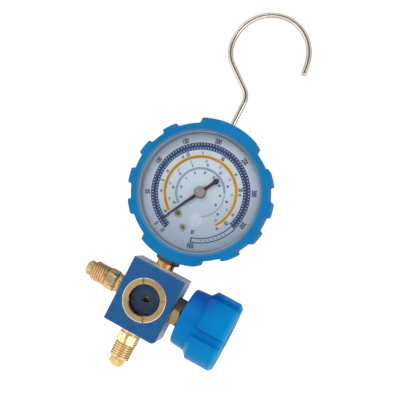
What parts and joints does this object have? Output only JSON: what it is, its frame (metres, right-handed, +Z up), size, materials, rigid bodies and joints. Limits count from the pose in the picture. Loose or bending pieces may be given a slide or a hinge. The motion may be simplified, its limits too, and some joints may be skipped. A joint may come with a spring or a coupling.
{
  "type": "refrigerant manifold gauge",
  "caption": "Hanging gauge manifold: a dial gauge in a rubber guard on a valve block with a knob, a sight glass and flare fittings.",
  "frame": {"origin": "on the gauge stem's axis at the height where the hook's arc hangs on its support", "axes": "+Z up along the gauge's stem, +X towards the knob, and the dial faces -Y"},
  "size_m": [0.0859, 0.0395, 0.2103],
  "materials": {
    "hook_wire": "bright nickel plate",
    "screw_steel": "zinc plate",
    "boot_rubber": "smooth satin",
    "case_black": "satin black paint",
    "bezel_steel": "polished",
    "lens_clear": "clear",
    "gasket_black": "matte",
    "dial_white": "matte white paint",
    "pointer_black": "matte black paint",
    "cap_metal": "dull",
    "pinion_steel": "fine turned",
    "movement_brass": "stamped and brushed",
    "tube_bronze": "drawn phosphor bronze",
    "fitting_brass": "turned, slightly dull",
    "seal_white": "plain",
    "block_blue": "blue coat on the front and left faces, the rest bare",
    "sight_clear": "clear",
    "stem_steel": "turned",
    "knob_blue": "moulded"
  },
  "bodies": {
    "manifold": {"hook_washer": "screw_steel", "boot": "boot_rubber", "case_shell": "case_black", "bezel_ring": "bezel_steel", "lens": "lens_clear", "lens_gasket": "gasket_black", "dial": "dial_white", "dial_screws": "screw_steel", "hairspring": "tube_bronze", "hairspring_stud": "movement_brass", "movement_front_plate": "movement_brass", "movement_back_plate": "movement_brass", "movement_pillars": "movement_brass", "movement_screws": "screw_steel", "bourdon_tube": "tube_bronze", "tip_block": "movement_brass", "gauge_socket": "fitting_brass", "case_screws": "screw_steel", "stem_washer": "seal_white", "manifold_block": "block_blue", "sight_ring": "fitting_brass", "sight_glass": "sight_clear", "sight_gasket": "gasket_black", "side_fitting": "fitting_brass", "bottom_fitting": "fitting_brass", "bonnet": "fitting_brass", "gland_packing": "seal_white", "gland_nut": "fitting_brass"},
    "hook": {"hook": "hook_wire"},
    "pointer": {"pointer": "pointer_black", "pointer_cap": "cap_metal", "pinion": "pinion_steel"},
    "sector": {"sector_gear": "movement_brass", "sector_arbor": "pinion_steel"},
    "link": {"link": "movement_brass"},
    "piston": {"valve_piston": "fitting_brass", "seat_disc": "seal_white", "piston_o_ring": "gasket_black"},
    "knob": {"valve_stem": "stem_steel", "knob": "knob_blue", "knob_washer": "screw_steel", "knob_screw": "screw_steel"}
  },
  "joints": [
    {"name": "hook_swivel", "type": "hinge", "parent": "manifold", "child": "hook", "pos_m": [-0.0021, 0, -0.06635], "axis": [0, 0, 1], "continuous": true},
    {"name": "pointer_turn", "type": "hinge", "parent": "manifold", "child": "pointer", "pos_m": [0, -0.004, -0.10325], "axis": [0, 1, 0], "range_deg": [-11.8, 313.9], "stiffness_Nm_per_rad": 0.002},
    {"name": "sector_turn", "type": "hinge", "parent": "manifold", "child": "sector", "pos_m": [0.0165, -0.001, -0.10325], "axis": [0, 1, 0], "range_deg": [-31.39, 1.18]},
    {"name": "link_turn", "type": "hinge", "parent": "sector", "child": "link", "pos_m": [0.02002, -0.002, -0.10621], "axis": [0, 1, 0], "range_deg": [-1.18, 31.39]},
    {"name": "stem_travel", "type": "slide", "parent": "manifold", "child": "piston", "axis": [1, 0, 0], "range_m": [0, 0.0025]},
    {"name": "knob_turn", "type": "hinge", "parent": "piston", "child": "knob", "pos_m": [0, 0, -0.16595], "axis": [1, 0, 0], "range_deg": [0, 900.4]}
  ],
  "couplings": [
    {"joint": "sector_turn", "follows": "pointer_turn", "ratio": -0.1},
    {"joint": "link_turn", "follows": "pointer_turn", "ratio": 0.1},
    {"joint": "knob_turn", "follows": "stem_travel", "rad_per_m": 6283.2}
  ]
}
